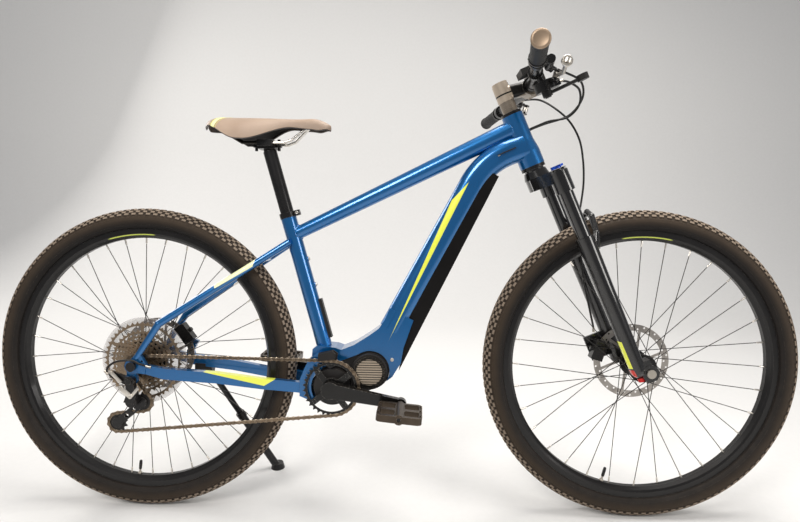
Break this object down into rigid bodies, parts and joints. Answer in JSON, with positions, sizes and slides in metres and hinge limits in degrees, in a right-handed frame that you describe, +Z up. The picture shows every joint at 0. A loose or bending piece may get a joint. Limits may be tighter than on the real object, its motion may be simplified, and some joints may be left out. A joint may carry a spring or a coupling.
{
  "type": "bicycle on stand",
  "caption": "Hardtail electric mountain bike with a mid motor, suspension fork, disc brakes and an open chain drive, leaning on a rear side stand.",
  "frame": {"origin": "middle of the footprint box on the floor, under the bike, which leans on its stand", "axes": "+X forward along the wheelbase, +Y to the rider's left (the stand side), +Z up"},
  "size_m": [1.9067, 0.7684, 1.0481],
  "materials": {
    "frame_paint": "gloss metallic blue",
    "black_plastic": "moulded",
    "motor_shell": "black coated",
    "cast_alloy": "cast",
    "black_alloy": "black anodised",
    "fork_black": "gloss black",
    "dark_steel": "dark",
    "steel": "worn",
    "alloy": "polished",
    "hose_black": "smooth",
    "grip_rubber": "ribbed",
    "tyre_rubber": "small block tread",
    "saddle_shell": "moulded",
    "saddle_skin": "soft cover",
    "blue_anodised": "anodised",
    "red_anodised": "anodised"
  },
  "bodies": {
    "frame": {"head_tube": "frame_paint", "top_tube": "frame_paint", "down_tube": "frame_paint", "seat_tube": "frame_paint", "right_stays": "frame_paint", "left_stays": "frame_paint", "battery": "black_plastic", "motor_case": "motor_shell", "motor_cover": "cast_alloy", "headset": "black_alloy", "seat_collar": "black_alloy", "rear_axle": "dark_steel", "rear_caliper": "black_alloy", "chain_guide": "cast_alloy", "stand_bracket": "black_alloy", "cable_cover": "black_plastic", "derailleur": "cast_alloy", "chain": "steel", "shift_housing": "hose_black", "frame_cables": "hose_black"},
    "seatpost": {"seatpost": "black_alloy", "saddle_rails": "steel", "saddle_base": "saddle_shell", "saddle_cover": "saddle_skin"},
    "steering": {"fork_crown": "black_alloy", "stanchions": "dark_steel", "stem": "black_alloy", "handlebar": "black_alloy", "grips": "grip_rubber", "brake_bodies": "black_alloy", "shifter": "black_plastic", "display": "black_plastic", "front_hose": "hose_black"},
    "fork_lowers": {"fork_lowers": "fork_black", "front_axle": "dark_steel", "front_caliper": "black_alloy", "lower_hose": "hose_black"},
    "front_wheel": {"front_tyre": "tyre_rubber", "front_rim": "black_alloy", "front_spokes": "dark_steel", "front_hub": "black_alloy", "front_disc": "steel"},
    "rear_wheel": {"rear_tyre": "tyre_rubber", "rear_rim": "black_alloy", "rear_spokes": "dark_steel", "rear_hub": "black_alloy", "rear_disc": "steel"},
    "cassette": {"cassette": "steel"},
    "cranks": {"cranks": "black_alloy"},
    "right_pedal": {"right_pedal": "black_plastic"},
    "left_pedal": {"left_pedal": "black_plastic"},
    "jockey_cage": {"jockey_cage": "black_alloy"},
    "upper_jockey_wheel": {"jockey_wheels_upper": "black_plastic"},
    "lower_jockey_wheel": {"jockey_wheels_lower": "black_plastic"},
    "stand_leg": {"stand_leg": "black_alloy"},
    "right_brake_lever": {"right_brake_lever": "alloy"},
    "left_brake_lever": {"left_brake_lever": "alloy"},
    "shift_lever": {"shift_lever": "black_plastic"},
    "lockout_lever": {"lockout_lever": "blue_anodised"},
    "rebound_knob": {"rebound_knob": "red_anodised"}
  },
  "joints": [
    {"name": "steering_turn", "type": "hinge", "parent": "frame", "child": "steering", "pos_m": [0.30526, -0.00875, 0.89309], "axis": [-0.3939, 0.0801, 0.9156], "range_deg": [-40, 40], "deforming": ["frame_cables"]},
    {"name": "fork_slide", "type": "slide", "parent": "steering", "child": "fork_lowers", "axis": [-0.3939, 0.0801, 0.9156], "range_m": [0, 0.1], "stiffness_N_per_m": 4000, "springref_m": -0.045, "deforming": ["front_hose"]},
    {"name": "front_wheel_spin", "type": "hinge", "parent": "fork_lowers", "child": "front_wheel", "pos_m": [0.5885, -0.05506, 0.36372], "axis": [0, 0.9962, -0.0872], "continuous": true},
    {"name": "rear_wheel_spin", "type": "hinge", "parent": "frame", "child": "rear_wheel", "pos_m": [-0.5885, -0.05506, 0.36372], "axis": [0, 0.9962, -0.0872], "continuous": true},
    {"name": "crank_turn", "type": "hinge", "parent": "frame", "child": "cranks", "pos_m": [-0.13145, -0.05959, 0.31192], "axis": [0, 0.9962, -0.0872], "continuous": true, "deforming": ["chain"]},
    {"name": "cassette_turn", "type": "hinge", "parent": "frame", "child": "cassette", "pos_m": [-0.5885, -0.05506, 0.36372], "axis": [0, 0.9962, -0.0872], "continuous": true},
    {"name": "right_pedal_turn", "type": "hinge", "parent": "cranks", "child": "right_pedal", "pos_m": [0.03104, -0.1916, 0.2947], "axis": [0, 0.9962, -0.0872], "continuous": true},
    {"name": "left_pedal_turn", "type": "hinge", "parent": "cranks", "child": "left_pedal", "pos_m": [-0.29394, 0.07241, 0.32913], "axis": [0, 0.9962, -0.0872], "continuous": true},
    {"name": "cage_swing", "type": "hinge", "parent": "frame", "child": "jockey_cage", "pos_m": [-0.5865, -0.13675, 0.29056], "axis": [0, -0.9962, 0.0872], "range_deg": [0, 50], "stiffness_Nm_per_rad": 0.8, "springref_deg": -45.84, "deforming": ["chain"]},
    {"name": "upper_jockey_turn", "type": "hinge", "parent": "jockey_cage", "child": "upper_jockey_wheel", "pos_m": [-0.57265, -0.12948, 0.28187], "axis": [0, 0.9962, -0.0872], "continuous": true},
    {"name": "lower_jockey_turn", "type": "hinge", "parent": "jockey_cage", "child": "lower_jockey_wheel", "pos_m": [-0.63327, -0.13379, 0.23253], "axis": [0, 0.9962, -0.0872], "continuous": true},
    {"name": "stand_fold", "type": "hinge", "parent": "frame", "child": "stand_leg", "pos_m": [-0.4765, 0.02045, 0.30893], "axis": [0, 0.9962, -0.0872], "range_deg": [0, 112]},
    {"name": "seatpost_slide", "type": "slide", "parent": "frame", "child": "seatpost", "axis": [-0.2664, 0.084, 0.9602], "range_m": [-0.11, 0.055]},
    {"name": "right_brake_pull", "type": "hinge", "parent": "steering", "child": "right_brake_lever", "pos_m": [0.34395, -0.1667, 1.00428], "axis": [-0.2771, -0.0837, -0.9572], "range_deg": [0, 12], "stiffness_Nm_per_rad": 2.5, "springref_deg": -8.59},
    {"name": "left_brake_pull", "type": "hinge", "parent": "steering", "child": "left_brake_lever", "pos_m": [0.34395, 0.16612, 0.97516], "axis": [0.2771, 0.0837, 0.9572], "range_deg": [0, 12], "stiffness_Nm_per_rad": 2.5, "springref_deg": -8.59},
    {"name": "shift_push", "type": "hinge", "parent": "steering", "child": "shift_lever", "pos_m": [0.3321, -0.14582, 0.9715], "axis": [-0.3939, 0.0801, 0.9156], "range_deg": [0, 22], "stiffness_Nm_per_rad": 0.5, "springref_deg": -11.46},
    {"name": "lockout_turn", "type": "hinge", "parent": "steering", "child": "lockout_lever", "pos_m": [0.37315, -0.08144, 0.81944], "axis": [-0.3939, 0.0801, 0.9156], "range_deg": [0, 90]},
    {"name": "rebound_turn", "type": "hinge", "parent": "fork_lowers", "child": "rebound_knob", "pos_m": [0.57327, -0.12214, 0.3543], "axis": [-0.3939, 0.0801, 0.9156], "range_deg": [0, 300]}
  ],
  "couplings": [
    {"joint": "cassette_turn", "follows": "crank_turn", "ratio": 2.9091},
    {"joint": "upper_jockey_turn", "follows": "crank_turn", "ratio": -2.9091},
    {"joint": "lower_jockey_turn", "follows": "crank_turn", "ratio": 2.9091}
  ]
}
